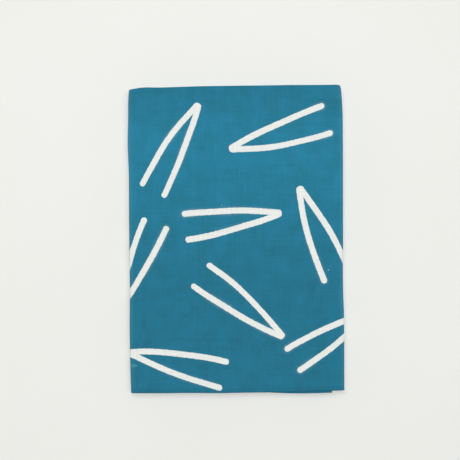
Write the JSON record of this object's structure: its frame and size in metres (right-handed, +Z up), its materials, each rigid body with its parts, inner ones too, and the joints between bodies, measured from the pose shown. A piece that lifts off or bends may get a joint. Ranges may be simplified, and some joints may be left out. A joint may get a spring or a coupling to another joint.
{
  "type": "folded tenugui towel",
  "caption": "Thin cotton tenugui towel, folded in half lengthwise and then back and forth into a flat stack that lies on a surface.",
  "frame": {"origin": "centre of the stack's outline, on the surface that it lies on", "axes": "+X runs across the stack from one side fold to the other, +Y towards the half fold, +Z up out of the upper face"},
  "size_m": [0.1286, 0.184, 0.01],
  "materials": {
    "dyed_cotton": "matte plain-weave cotton, teal with undyed lines, the same on both faces"
  },
  "bodies": {
    "root": {"tenugui_cloth": "dyed_cotton"}
  },
  "joints": []
}
